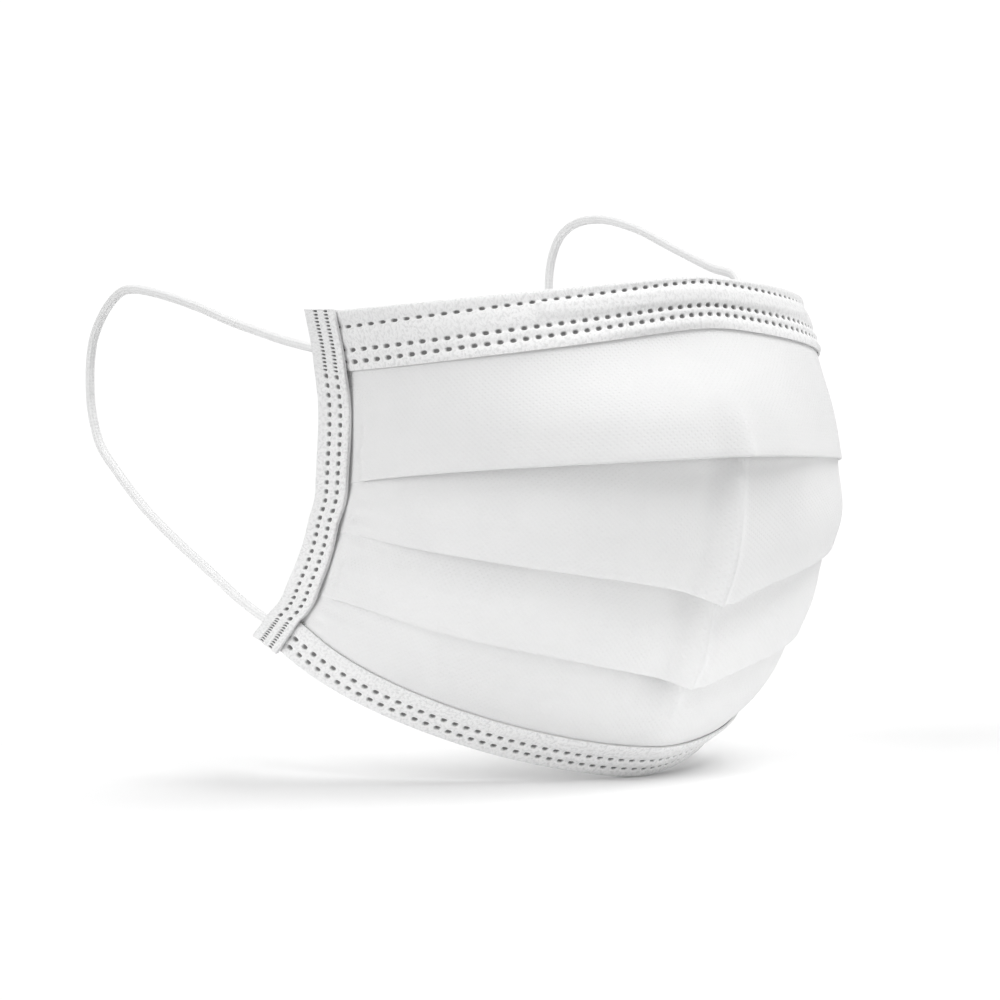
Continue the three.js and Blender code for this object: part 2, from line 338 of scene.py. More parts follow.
class MaskForm:
    """The cloth's middle surface.

    `across` runs from -1 at the left binding through 0 at the nose to 1 at the right one and on
    to 2 at the hem, and `level` runs down through the level lines.
    """

    SIDE_X = 60.0
    HEM_X = 62.0
    DOWNWARD = 0.3  # how much of the drape follows the cloth's downward tilt

    def __init__(self, drape: Drape) -> None:
        """Traces the level lines and the two curves down each side.

        Args:
            drape: What the worn cloth adds to the plain form.
        """
        self.drape = drape
        self.lines = [line.trace(self.SIDE_X) for line in LEVELS]
        self.side_points = np.array([(self.SIDE_X, line.side_y, line.side_z) for line in LEVELS])
        self.side = Spline(self.side_points)
        self.hem = Spline([(self.HEM_X, line.hem_y, line.hem_z) for line in LEVELS])

    def plain(self, across: np.ndarray, level: np.ndarray) -> np.ndarray:
        """Returns points of the plain form, before the drape.

        Args:
            across: Places across the mask.
            level: Places down it, of the same shape.

        Returns:
            Points in millimetres, with one more axis.
        """
        shape = across.shape
        across, level = across.ravel(), np.clip(level.ravel(), 0, CHIN)
        share = np.minimum(np.abs(across), 1.0)
        index = np.clip(level.astype(int), 0, CHIN - 1)
        part = (level - index)[:, None]
        on_lines = np.stack([
            np.stack([np.interp(share, s, points[:, k]) for k in range(3)], axis=1)
            for s, points in self.lines
        ])
        each = np.arange(across.size)
        point = lerp(on_lines[index, each], on_lines[index + 1, each], part)
        smooth = self.side.at(level / CHIN)
        straight = lerp(self.side_points[index], self.side_points[index + 1], part)
        point += (smooth - straight) * share[:, None] ** 4
        beyond = np.abs(across)[:, None] - 1
        point = np.where(beyond > 0, lerp(smooth, self.hem.at(level / CHIN), beyond), point)
        point[:, 0] *= np.where(across < 0, -1, 1)
        return point.reshape(*shape, 3)

    def outward(self, across: np.ndarray, level: np.ndarray) -> np.ndarray:
        """Returns the directions out of the plain form towards the front, blended over the folds.

        Args:
            across: Places across the mask.
            level: Places down it.

        Returns:
            Unit vectors.
        """
        aside, along = 0.02, 0.35
        down = self.plain(across, np.minimum(level + along, CHIN))
        down -= self.plain(across, np.maximum(level - along, 0))
        right = self.plain(across + aside, level) - self.plain(across - aside, level)
        normal = np.cross(down, right)
        return normal / np.linalg.norm(normal, axis=-1, keepdims=True)

    def place(self, across: np.ndarray, level: np.ndarray, out: np.ndarray) -> np.ndarray:
        """Returns points that stand `out` millimetres off the draped cloth.

        Args:
            across: Places across the mask.
            level: Places down it.
            out: Distances from the cloth's middle surface, towards the front.

        Returns:
            Points in millimetres.
        """
        across, level, out = np.broadcast_arrays(across, level, out)
        away = self.outward(across, level)
        forward = away * (1.0, 1.0, self.DOWNWARD)
        point = self.plain(across, level) + away * out[..., None]
        point += forward * self.drape.out(across, level)[..., None]
        point[..., 2] -= self.drape.drop(across, level)
        return point

    def height(self, across: np.ndarray, level: int) -> np.ndarray:
        """Returns the distance from one level line to the next.

        Args:
            across: Places across the mask.
            level: The upper line.

        Returns:
            Millimetres at each place.
        """
        ones = np.ones_like(across)
        down = self.plain(across, (level + 1) * ones) - self.plain(across, level * ones)
        return np.linalg.norm(down, axis=-1)


def mesh_object(
    name: str,
    points: np.ndarray,
    faces: np.ndarray,
    charts: dict[str, np.ndarray],
    caps: tuple[np.ndarray, ...] = (),
) -> bpy.types.Object:
    """Makes a smooth mesh object from points in millimetres.

    Args:
        name: The object's name.
        points: One row of three numbers for each vertex.
        faces: One row of four vertex numbers for each face.
        charts: UV maps by name, one row of two numbers for each vertex.
        caps: Rings of vertex numbers to close with one face each.

    Returns:
        The object, linked to the scene.
    """
    mesh = bpy.data.meshes.new(name)
    rings = [ring.tolist() for ring in caps]
    mesh.from_pydata((points * MM).tolist(), [], faces.tolist() + rings)
    corners = np.empty(len(mesh.loops), np.int32)
    mesh.loops.foreach_get("vertex_index", corners)
    for chart, values in charts.items():
        layer = mesh.uv_layers.new(name=chart)
        layer.data.foreach_set("uv", values[corners].astype(np.float32).ravel())
    made = bmesh.new()
    made.from_mesh(mesh)
    bmesh.ops.recalc_face_normals(made, faces=made.faces)
    for face in made.faces:
        face.smooth = True
    made.to_mesh(mesh)
    made.free()
    thing = bpy.data.objects.new(name, mesh)
    bpy.context.scene.collection.objects.link(thing)
    return thing


def grid_faces(sections: int, ring: int, closed: bool) -> np.ndarray:
    """Returns the faces of a grid of vertices.

    Args:
        sections: Rows of vertices.
        ring: Vertices in a row.
        closed: True where each row closes on itself.

    Returns:
        One row of four vertex numbers for each face.
    """
    across = np.arange(ring if closed else ring - 1)
    start = np.arange(sections - 1)[:, None] * ring
    a = start + across
    b = start + (across + 1) % ring
    return np.stack([a, b, b + ring, a + ring], axis=-1).reshape(-1, 4)


Number = "Field | float"


class Field:
    """A number that varies over a surface: a socket whose arithmetic adds Math nodes."""

    def __init__(self, recipe: "Recipe", socket: bpy.types.NodeSocket) -> None:
        """Wraps a socket.

        Args:
            recipe: The material that the socket is in.
            socket: The output that holds the number.
        """
        self.recipe = recipe
        self.socket = socket

    def __add__(self, other: Number) -> "Field":
        """Adds."""
        return self.recipe.maths("ADD", self, other)

    __radd__ = __add__

    def __sub__(self, other: Number) -> "Field":
        """Subtracts."""
        return self.recipe.maths("SUBTRACT", self, other)

    def __rsub__(self, other: float) -> "Field":
        """Subtracts from a plain number."""
        return self.recipe.maths("SUBTRACT", other, self)

    def __mul__(self, other: Number) -> "Field":
        """Multiplies."""
        return self.recipe.maths("MULTIPLY", self, other)

    __rmul__ = __mul__

    def __truediv__(self, other: Number) -> "Field":
        """Divides."""
        return self.recipe.maths("DIVIDE", self, other)

    def __pow__(self, power: float) -> "Field":
        """Raises to a power."""
        return self.recipe.maths("POWER", self, power)

    def __abs__(self) -> "Field":
        """Drops the sign."""
        return self.recipe.maths("ABSOLUTE", self)

    def fract(self) -> "Field":
        """Returns the part after the decimal point."""
        return self.recipe.maths("FRACT", self)

    def step(self, low: float, high: float) -> "Field":
        """Returns a smooth step from 0 at `low` to 1 at `high`; `high` may be the smaller.

        Args:
            low: Where the step starts.
            high: Where it ends.

        Returns:
            A number from 0 to 1.
        """
        rising = low < high
        ends = (low, high, 0.0, 1.0) if rising else (high, low, 1.0, 0.0)
        names = ("From Min", "From Max", "To Min", "To Max")
        sockets = {"Value": self, **dict(zip(names, ends, strict=True))}
        node = self.recipe.add("ShaderNodeMapRange", {"interpolation_type": "SMOOTHSTEP"}, sockets)
        return Field(self.recipe, node.outputs["Result"])


class Recipe:
    """The nodes of one material, or of the world."""

    def __init__(self, owner: bpy.types.Material | bpy.types.World) -> None:
        """Starts an empty tree.

        Args:
            owner: The new material or world.
        """
        self.owner = owner
        self.owner.use_nodes = True
        self.tree = self.owner.node_tree
        self.tree.nodes.clear()

    def add(
        self,
        kind: str,
        settings: dict[str, object] | None = None,
        sockets: dict[str | int, object] | None = None,
    ) -> bpy.types.Node:
        """Adds a node.

        Args:
            kind: The node's type.
            settings: Its properties, set first.
            sockets: Values or links of its inputs, by name or place.

        Returns:
            The node.
        """
        node = self.tree.nodes.new(kind)
        for name, value in (settings or {}).items():
            setattr(node, name, value)
        for key, value in (sockets or {}).items():
            if isinstance(value, Field):
                value = value.socket
            if isinstance(value, bpy.types.NodeSocket):
                self.tree.links.new(value, node.inputs[key])
            else:
                node.inputs[key].default_value = value
        return node

    def maths(self, operation: str, *values: Number) -> Field:
        """Adds a Math node on numbers."""
        node = self.add("ShaderNodeMath", {"operation": operation}, dict(enumerate(values)))
        return Field(self, node.outputs["Value"])

    def chart(self, name: str) -> tuple[Field, Field]:
        """Returns the two numbers of a UV map.

        Args:
            name: The map's name.

        Returns:
            Its first and its second number.
        """
        uv = self.add("ShaderNodeUVMap", {"uv_map": name})
        parts = self.add("ShaderNodeSeparateXYZ", None, {0: uv.outputs["UV"]})
        return Field(self, parts.outputs["X"]), Field(self, parts.outputs["Y"])

    def noise(self, scale: float, detail: float = 2.0, stretch: tuple[float, float] | None = None) -> Field:
        """Returns noise over the piece.

        Args:
            scale: Cells in a metre, or in a millimetre of the cloth's chart where it is stretched.
            detail: Octaves.
            stretch: How much shorter the cells are along and across the cloth's chart.

        Returns:
            A number about 0.5.
        """
        if stretch is None:
            place = self.add("ShaderNodeTexCoord").outputs["Object"]
        else:
            uv = self.add("ShaderNodeUVMap", {"uv_map": CLOTH_UV}).outputs["UV"]
            sizes = {0: uv, 1: (*stretch, 1.0)}
            place = self.add("ShaderNodeVectorMath", {"operation": "MULTIPLY"}, sizes).outputs["Vector"]
        sockets = {"Vector": place, "Scale": scale, "Detail": detail, "Roughness": 0.55}
        return Field(self, self.add("ShaderNodeTexNoise", None, sockets).outputs["Fac"])

    def mix(self, share: Number, first: object, second: object) -> bpy.types.NodeSocket:
        """Returns a colour between two.

        Args:
            share: How much of the second.
            first: A colour or a colour socket.
            second: Another.

        Returns:
            The mixed colour's socket.
        """
        sockets = {"Factor": share, 6: first, 7: second}
        node = self.add("ShaderNodeMix", {"data_type": "RGBA"}, sockets)
        return node.outputs[2]

    def finish(
        self, colour: object, roughness: Number, height: Field, relief: float, **sockets: object
    ) -> bpy.types.Material:
        """Joins colour, roughness and relief to a Principled shader.

        Args:
            colour: The base colour or its socket.
            roughness: The roughness.
            height: The relief's height, about 0 to 1.
            relief: Metres that a height of 1 stands for.
            sockets: Other plain values of the shader, by name.

        Returns:
            The material.
        """
        bump = self.add("ShaderNodeBump", None, {"Strength": 1.0, "Distance": relief, "Height": height})
        values = {"Base Color": colour, "Roughness": roughness, "Normal": bump.outputs["Normal"]}
        values.update({name.replace("_", " "): value for name, value in sockets.items()})
        shader = self.add("ShaderNodeBsdfPrincipled", None, values)
        self.add("ShaderNodeOutputMaterial", None, {"Surface": shader.outputs["BSDF"]})
        return self.owner


def grey(value: float, warmth: float = 0.0) -> tuple[float, float, float, float]:
    """Returns a near-neutral colour, a little warmer or cooler."""
    return (value * (1 + warmth), value, value * (1 - warmth), 1.0)


@dataclass(frozen=True)
class SpunbondFinish:
    """Point-bonded nonwoven: fibres pressed together at a staggered grid of small ovals."""

    name: str
    tone: float = 0.86
    bond_tone: float = 0.83
    cell: float = 1.35  # millimetres between bond points
    relief: float = 0.00006
    roughness: float = 0.86

    def material(self) -> bpy.types.Material:
        """Makes the material.

        Returns:
            The material, for a mesh with the cloth's chart.
        """
        recipe = Recipe(bpy.data.materials.new(self.name))
        along, down = recipe.chart(CLOTH_UV)
        diagonal = (along + down) / self.cell
        counter = (along - down) / self.cell
        wide = abs(diagonal.fract() - 0.5)
        tall = abs(counter.fract() - 0.5)
        bond = (wide * wide + tall * tall).step(0.085, 0.03)
        fibres = recipe.noise(5.5, 3.0, (1.0, 2.4))
        cross_fibres = recipe.noise(6.5, 3.0, (2.6, 0.9))
        cloud = recipe.noise(55.0, 2.0)
        tangle = fibres * 0.5 + cross_fibres * 0.5
        shade = recipe.mix(tangle.step(0.3, 0.7), grey(self.tone * 0.965), grey(self.tone * 1.03))
        shade = recipe.mix(cloud.step(0.35, 0.75) * 0.35, shade, grey(self.tone * 0.94, -0.004))
        patch = cloud.step(0.42, 0.62) * 0.55 + 0.1
        shade = recipe.mix(bond * patch, shade, grey(self.bond_tone))
        rough = self.roughness - bond * 0.2 + tangle * 0.06
        height = tangle * 0.7 - bond * 0.9
        return recipe.finish(shade, rough, height, self.relief, Sheen_Weight=0.12, Sheen_Roughness=0.5)


@dataclass(frozen=True)
class WeldedFinish:
    """Light binding cloth with rows of melted weld marks."""

    name: str
    tone: float = 0.95
    weld_tone: float = 0.15
    relief: float = 0.00011
    roughness: float = 0.84

    def material(self) -> bpy.types.Material:
        """Makes the material.

        Returns:
            The material, for a mesh with the cloth's chart and the welds' chart.
        """
        recipe = Recipe(bpy.data.materials.new(self.name))
        pitch, away = recipe.chart(WELD_UV)
        reach = abs(pitch.fract() - 0.5) / Weld.HALF_LENGTH
        size = (reach**Weld.SQUARENESS + away**Weld.SQUARENESS) ** (1 / Weld.SQUARENESS)
        edge = recipe.noise(2600.0, 2.0)
        size = size + (edge - 0.5) * 0.5
        melted = size.step(1.2, 0.6)
        rim = size.step(1.0, 1.25) * size.step(2.0, 1.35)
        fibres = recipe.noise(4.2, 4.0, (1.0, 1.7))
        speckle = recipe.noise(1.15, 3.0, (1.2, 1.0))
        cloud = recipe.noise(90.0, 2.0)
        shade = recipe.mix(fibres.step(0.32, 0.68), grey(self.tone * 0.93), grey(self.tone * 1.05))
        shade = recipe.mix(speckle.step(0.44, 0.64) * 0.8, shade, grey(self.tone * 0.8))
        shade = recipe.mix(cloud.step(0.4, 0.7) * 0.3, shade, grey(self.tone * 0.93))
        shade = recipe.mix(rim * 0.7, shade, grey(self.tone * 1.08))
        shade = recipe.mix(melted, shade, grey(self.weld_tone))
        rough = self.roughness - melted * 0.4
        height = fibres * (1 - melted) * 0.9 + speckle * 0.3 + rim * 0.5 - melted * 0.6
        return recipe.finish(shade, rough, height, self.relief, Sheen_Weight=0.1, Sheen_Roughness=0.5)


@dataclass(frozen=True)
class ElasticFinish:
    """Knitted elastic: fine wales along the cord, crossed by the stitches, with painted shade in the grooves
    between them.
    """

    name: str
    tone: float = 0.93
    wales: float = 9.0
    stitch: float = 0.9  # millimetres

    def material(self) -> bpy.types.Material:
        """Makes the material.

        Returns:
            The material, for a mesh whose chart holds millimetres along and shares round the cord.
        """
        recipe = Recipe(bpy.data.materials.new(self.name))
        along, around = recipe.chart(CLOTH_UV)
        wale = abs((around * self.wales).fract() - 0.5) * 2
        slant = abs((along / self.stitch + wale * 0.5).fract() - 0.5) * 2
        fuzz = recipe.noise(1900.0, 3.0)
        groove = (1 - wale).step(0.55, 0.0)
        # Painted shade: the colour is darkened in the grooves between the wales and in the gaps between
        # stitches.
        shade = recipe.mix(groove * 0.3 + slant.step(0.65, 1.0) * 0.3, grey(self.tone), grey(self.tone * 0.8))
        shade = recipe.mix(fuzz.step(0.4, 0.7) * 0.25, shade, grey(self.tone * 1.08))
        height = (1 - groove) * 0.6 + (1 - slant) * 0.5 + fuzz * 0.3
        return recipe.finish(shade, 0.82 + fuzz * 0.1, height, 0.00012, Sheen_Weight=0.15)


@dataclass(frozen=True)
class WireFinish:
    """Flat steel wire in a thin white coat."""

    name: str
    tone: float = 0.72

    def material(self) -> bpy.types.Material:
        """Makes the material.

        Returns:
            The material.
        """
        recipe = Recipe(bpy.data.materials.new(self.name))
        drawn = recipe.noise(420.0, 4.0)
        worn = recipe.noise(120.0, 3.0).step(0.62, 0.75)
        shade = recipe.mix(drawn.step(0.35, 0.65), grey(self.tone), grey(self.tone * 0.9))
        shade = recipe.mix(worn * 0.6, shade, grey(0.5))
        return recipe.finish(shade, 0.38 + drawn * 0.15, drawn, 0.00002, Metallic=0.0, Coat_Weight=0.2)


@dataclass(frozen=True)
class StudioFinish:
    """Plain pale paper for the floor and backdrop."""

    name: str
    tone: float = 1.0

    def material(self) -> bpy.types.Material:
        """Makes the material.

        Returns:
            The material.
        """
        recipe = Recipe(bpy.data.materials.new(self.name))
        grain = recipe.noise(40.0, 2.0)
        shade = recipe.mix(grain, grey(self.tone), grey(self.tone * 0.995))
        return recipe.finish(shade, 0.9, grain, 0.00001)


class Weld:
    """The outline of one weld mark, shared by the dents and the finish."""

    HALF_LENGTH = 0.25  # of a pitch
    SQUARENESS = 2.4

    @classmethod
    def dent(cls, pitches: np.ndarray, away: np.ndarray) -> np.ndarray:
        """Returns how deep the dents are, from 0 to 1.

        Args:
            pitches: Places along the row, in pitches.
            away: Distances from the row's line, in half heights of a mark.

        Returns:
            Shares of the full depth.
        """
        reach = np.abs(pitches % 1.0 - 0.5) / cls.HALF_LENGTH
        size = (reach**cls.SQUARENESS + away**cls.SQUARENESS) ** (1 / cls.SQUARENESS)
        return 1 - blend(0.6, 1.4, size)


@dataclass(frozen=True)
class WeldRow:
    """A row of weld marks along a folded strip."""

    middle: float  # distance from the fold as a share of the strip's height, halfway along the strip
    ends: float  # the same at the strip's ends
    half_height: float  # millimetres

    def share(self, station: np.ndarray) -> np.ndarray:
        """Returns the row's place at stations from 0, halfway along, to 1 at the ends."""
        return lerp(self.middle, self.ends, np.clip(np.abs(station), 0, 1))


@dataclass
class Section:
    """A strip's section at every station: rows of distances from the fold and out of the cloth."""

    down: list[np.ndarray] = field(default_factory=list)
    out: list[np.ndarray] = field(default_factory=list)

    def add(self, down: np.ndarray | float, out: np.ndarray | float, like: np.ndarray) -> None:
        """Adds one row, with a value for each station.

        Args:
            down: Distance from the fold, in millimetres.
            out: Distance out of the cloth.
            like: An array with one value for each station.
        """
        self.down.append(np.broadcast_to(np.asarray(down, float), like.shape))
        self.out.append(np.broadcast_to(np.asarray(out, float), like.shape))


@dataclass
class FoldedStrip:
    """A strip of cloth folded over an edge of the mask and welded through it.

    A subclass says where its stations lie and places a section's points.
    """

    form: MaskForm
    name: str
    node: str
    welds: tuple[WeldRow, ...]
    back: float  # millimetres that the back leg reaches
    front_out: float = 0.8  # the front leg's face off the cloth's middle
    back_out: float = 0.75
    cloth: float = 0.45
    swell: float = 0.4  # how far the cloth puffs up between welds
    swell_reach: float = 1.0
    dent: float = 0.38
    turn: float = 0.9  # length of the rounded turn at the fold
    lining_lag: float = 0.8  # the inner face rises over less than the outer one, clear of the dents
    columns: int = 9  # sections to a pitch

    def pitch(self, station: np.ndarray) -> np.ndarray:
        """Returns the weld pitch in millimetres at stations."""
        raise NotImplementedError

    def line(self, station: np.ndarray) -> np.ndarray:
        """Returns points of the line along which the pitches are counted."""
        raise NotImplementedError

    def ends(self) -> tuple[float, float]:
        """Returns the first and last station."""
        raise NotImplementedError

    def height(self, station: np.ndarray) -> np.ndarray:
        """Returns the strip's height in millimetres at stations."""
        raise NotImplementedError

    def spread(self, station: np.ndarray) -> np.ndarray:
        """Returns the stations as the weld rows count them, 0 in the middle and 1 at the ends."""
        return station

    def spot(self, station: np.ndarray, down: np.ndarray, out: np.ndarray) -> np.ndarray:
        """Places points of the section."""
        raise NotImplementedError

    def front_lift(self, station: np.ndarray, down: np.ndarray) -> np.ndarray:
        """Returns what raises the front leg at places, in millimetres."""
        return np.zeros_like(down)

    def back_lift(self, station: np.ndarray) -> np.ndarray:
        """Returns what pushes the back leg away from the cloth, in millimetres."""
        return np.zeros_like(station)

    def stations(self) -> tuple[np.ndarray, np.ndarray, np.ndarray]:
        """Spaces the sections evenly through the pitches.

        Returns:
            The stations, the pitches counted and the millimetres passed at each.
        """
        fine = np.linspace(*self.ends(), 4000)
        steps = np.linalg.norm(np.diff(self.line(fine), axis=0), axis=1)
        passed = np.concatenate([[0], np.cumsum(steps)])
        middles = (fine[1:] + fine[:-1]) / 2
        counted = np.concatenate([[0], np.cumsum(steps / self.pitch(middles))])
        total = round(counted[-1])
        counted *= total / counted[-1]
        pitches = np.linspace(0, total, total * self.columns + 1)
        station = np.interp(pitches, counted, fine)
        return station, pitches, np.interp(station, fine, passed)

    def weld_lines(self, station: np.ndarray) -> np.ndarray:
        """Returns each weld row's distance from the fold at stations."""
        height = self.height(station)
        return np.stack([row.share(self.spread(station)) * height for row in self.welds])

    def nearest(self, down: np.ndarray, lines: np.ndarray) -> tuple[np.ndarray, np.ndarray]:
        """Measures to the nearest weld row.

        Args:
            down: Distances from the fold, a row of the section for each station.
            lines: The weld rows' distances from the fold.

        Returns:
            Half heights of a mark from the row's line, and millimetres from it.
        """
        halves = np.array([row.half_height for row in self.welds])[:, None]
        gaps = np.abs(down[None] - lines)
        return (gaps / halves).min(axis=0), gaps.min(axis=0)

    def front_downs(self, station: np.ndarray, lines: np.ndarray) -> list[np.ndarray]:
        """Returns the front leg's rows, from its free edge to the fold, close together at the welds.

        Args:
            station: The stations.
            lines: The weld rows' distances from the fold.

        Returns:
            Distances from the fold, with an array for each row.
        """
        height = self.height(station)
        near = (0.0, 0.14, 0.3, 0.48, 0.75)
        anchors = [height, *lines[np.argsort(-lines[:, 0])], np.full_like(height, self.turn)]
        rows = [height, height - 0.07]
        for upper, lower in zip(anchors[:-1], anchors[1:], strict=True):
            first = 0.25 if upper is anchors[0] else near[-1]
            last = 0.0 if lower is anchors[-1] else near[-1]
            count = max(2, round(float(np.median(upper - lower - first - last)) / 0.6))
            rows += [lerp(upper - first, lower + last, k / count) for k in range(count + 1)]
            if lower is not anchors[-1]:
                rows += [lower + gap for gap in near[-2:0:-1]] + [lower]
                rows += [lower - gap for gap in near[1:-1]]
        return rows

    def section(self, station: np.ndarray, pitches: np.ndarray) -> tuple[Section, np.ndarray]:
        """Works out the closed section at every station.

        Args:
            station: The stations.
            pitches: The pitches counted at each.

        Returns:
            The section, and each point's distance from a weld row in half heights of a mark.
        """
        lines = self.weld_lines(station)
        height = self.height(station)
        made, marks = Section(), []

        def face(down: np.ndarray, base: np.ndarray, edge: np.ndarray) -> np.ndarray:
            """Puffs a leg up between the welds and dents it at them.

            Args:
                down: Distances from the fold.
                base: The leg's face before that.
                edge: The leg's free edge.

            Returns:
                How far out the face lies.
            """
            away, gap = self.nearest(down, lines)
            marks.append(away)
            rim = 1 - np.exp(-(((edge - down) / 0.7) ** 2))
            puff = self.swell * (1 - np.exp(-((gap / self.swell_reach) ** 2))) * rim
            return base + puff - self.dent * Weld.dent(pitches, away)

        for down in self.front_downs(station, lines):
            base = self.front_out + self.front_lift(station, down)
            made.add(down, face(down, base, height), station)
        back = self.back_out + self.back_lift(station)
        turn = np.full_like(station, self.turn)
        front_end = made.out[-1]
        back_end = face(turn, back, turn + self.back)
        marks.pop()
        middle, half = (front_end - back_end) / 2, (front_end + back_end) / 2
        for angle in np.linspace(0, math.pi, 9)[1:-1]:
            down = self.turn * (1 - math.sin(angle))
            made.add(down, middle + half * math.cos(angle), station)
            marks.append(np.full_like(station, 9.0))
        for down in np.arange(self.turn, self.back - 0.15, 0.32).tolist() + [self.back - 0.07, self.back]:
            down = np.full_like(station, down)
            made.add(down, -face(down, back, np.full_like(station, self.back)), station)
        for down in (self.back, (self.back + self.turn) / 2, self.turn):
            made.add(down, self.cloth - back, station)
        for angle in np.linspace(math.pi, 0, 7)[1:-1]:
            down = self.cloth + (self.turn - self.cloth) * (1 - math.sin(angle))
            made.add(down, middle + (half - self.cloth) * math.cos(angle), station)
        for share in np.linspace(0, 1, 14):
            down = lerp(self.turn, height, share)
            above, below = down - self.lining_lag, down + self.lining_lag
            lift = np.minimum(self.front_lift(station, above), self.front_lift(station, below))
            made.add(down, self.front_out + lift - self.cloth, station)
        marks += [np.full_like(station, 9.0)] * (len(made.down) - len(marks))
        return made, np.stack(marks)

    def build(self) -> bpy.types.Object:
        """Builds the strip.

        Returns:
            Its object, with the charts that its finish needs.
        """
        station, pitches, passed = self.stations()
        section, marks = self.section(station, pitches)
        down, out = np.stack(section.down).T, np.stack(section.out).T
        points = self.spot(station[:, None], down, out)
        sections, ring = down.shape
        girth = np.cumsum(np.hypot(np.diff(down, axis=1, prepend=0), np.diff(out, axis=1, prepend=0)), axis=1)
        along = np.broadcast_to(passed[:, None], down.shape)
        counted = np.broadcast_to(pitches[:, None], down.shape)
        charts = {
            CLOTH_UV: np.stack([along, girth], axis=-1).reshape(-1, 2),
            WELD_UV: np.stack([counted, marks.T], axis=-1).reshape(-1, 2),
        }
        first = np.arange(ring)
        caps = (first[::-1], first + (sections - 1) * ring)
        faces = grid_faces(sections, ring, closed=True)
        return mesh_object(self.name, points.reshape(-1, 3), faces, charts, caps)


@dataclass
class Band(FoldedStrip):
    """A band folded over the top edge or under the chin edge, from one binding to the other."""

    fold: int = 0  # the level line at its fold
    down: int = 1  # 1 where its legs hang from the fold, -1 where they rise from it
    pitch_middle: float = 2.6
    pitch_ends: float = 4.0
    cloth_end: float = 1.8
    wire_reach: float = 0.0
    wire_lift: float = 0.0
    wire_top: float = 3.2
    wire_height: float = 3.4
    wire_end: float = 0.5  # the welt at the wire's ends, as a share of its lift
    wire_end_reach: float = 0.008

    def ends(self) -> tuple[float, float]:
        """Returns the places across where the cloth ends inside the bindings."""
        return -self.cloth_end, self.cloth_end

    def pitch(self, station: np.ndarray) -> np.ndarray:
        """Returns a pitch that grows towards the sides, as the feed stretches the cloth there."""
        return lerp(self.pitch_middle, self.pitch_ends, np.clip(np.abs(station), 0, 1) ** 3)

    def line(self, station: np.ndarray) -> np.ndarray:
        """Returns the middle of the band."""
        return self.form.plain(station, np.full_like(station, self.fold + 0.5 * self.down))

    def height(self, station: np.ndarray) -> np.ndarray:
        """Returns the front leg's height."""
        return self.form.height(station, min(self.fold, self.fold + self.down))

    def spot(self, station: np.ndarray, down: np.ndarray, out: np.ndarray) -> np.ndarray:
        """Places points by their distance from the fold."""
        level = self.fold + self.down * down / self.height(station[:, 0])[:, None]
        return self.form.place(station, level, out)

    def front_lift(self, station: np.ndarray, down: np.ndarray) -> np.ndarray:
        """Raises the front leg over the wire, with a small welt at the wire's ends.

        Args:
            station: Places across the mask.
            down: Distances from the fold.

        Returns:
            Millimetres.
        """
        if not self.wire_lift:
            return np.zeros_like(down)
        away = np.abs(station)
        over = 1 - blend(self.wire_reach, self.wire_reach + 0.02, away)
        end_welt = self.wire_end * np.exp(-(((away - self.wire_reach) / self.wire_end_reach) ** 2))
        bottom = self.wire_top + self.wire_height
        across = blend(self.wire_top - 0.7, self.wire_top + 0.2, down)
        across = across * (1 - blend(bottom - 0.2, bottom + 0.7, down))
        return (over + end_welt) * across * self.wire_lift


@dataclass
class Binding(FoldedStrip):
    """A binding folded round a side edge, from the top edge to the chin."""

    side: int = -1
    fine_pitch: float = 0.88  # where it crosses the bands
    open_pitch: float = 2.2
    below_nose_band: tuple[float, float] = (1.02, 1.08)  # levels over which the pitch changes
    above_chin_band: tuple[float, float] = (5.0, 5.06)
    band_lift: float = 0.85
    pleat_lift: float = 0.5
    back_rise: float = 0.75

    def ends(self) -> tuple[float, float]:
        """Returns the levels of its two ends."""
        return 0.0, float(CHIN)

    def pitch(self, station: np.ndarray) -> np.ndarray:
        """Returns the fine pitch over the bands and the open one between them."""
        between = blend(*self.below_nose_band, station) * (1 - blend(*self.above_chin_band, station))
        return lerp(self.fine_pitch, self.open_pitch, between)

    def line(self, station: np.ndarray) -> np.ndarray:
        """Returns the middle of the binding."""
        return self.form.plain(np.full_like(station, 1.5), station)

    def height(self, station: np.ndarray) -> np.ndarray:
        """Returns the width of its legs."""
        ones = np.ones_like(station)
        return np.linalg.norm(self.form.plain(2 * ones, station) - self.form.plain(ones, station), axis=-1)

    def spread(self, station: np.ndarray) -> np.ndarray:
        """Returns 0 all along, because its rows run straight."""
        return np.zeros_like(station)

    def spot(self, station: np.ndarray, down: np.ndarray, out: np.ndarray) -> np.ndarray:
        """Places points by their distance from the hem."""
        across = self.side * (2 - down / self.height(station[:, 0])[:, None])
        return self.form.place(across, station, out)

    def front_lift(self, station: np.ndarray, down: np.ndarray) -> np.ndarray:
        """Raises the front leg over the bands, and a little over each pleat.

        Args:
            station: Levels down the binding.
            down: Distances from the hem.

        Returns:
            Millimetres.
        """
        bands = 1 - blend(0.95, 1.4, station) + blend(4.6, 5.0, station)
        stacks = sum(np.exp(-(((station - fold + 0.16) / 0.3) ** 2)) for fold in FOLDS)
        return self.band_lift * bands + self.pleat_lift * stacks + np.zeros_like(down)

    def back_lift(self, station: np.ndarray) -> np.ndarray:
        """Pushes the back leg away where the bands' back legs are under it."""
        return self.back_rise * (1 - blend(0.55, 0.75, station) + blend(5.1, 5.3, station))


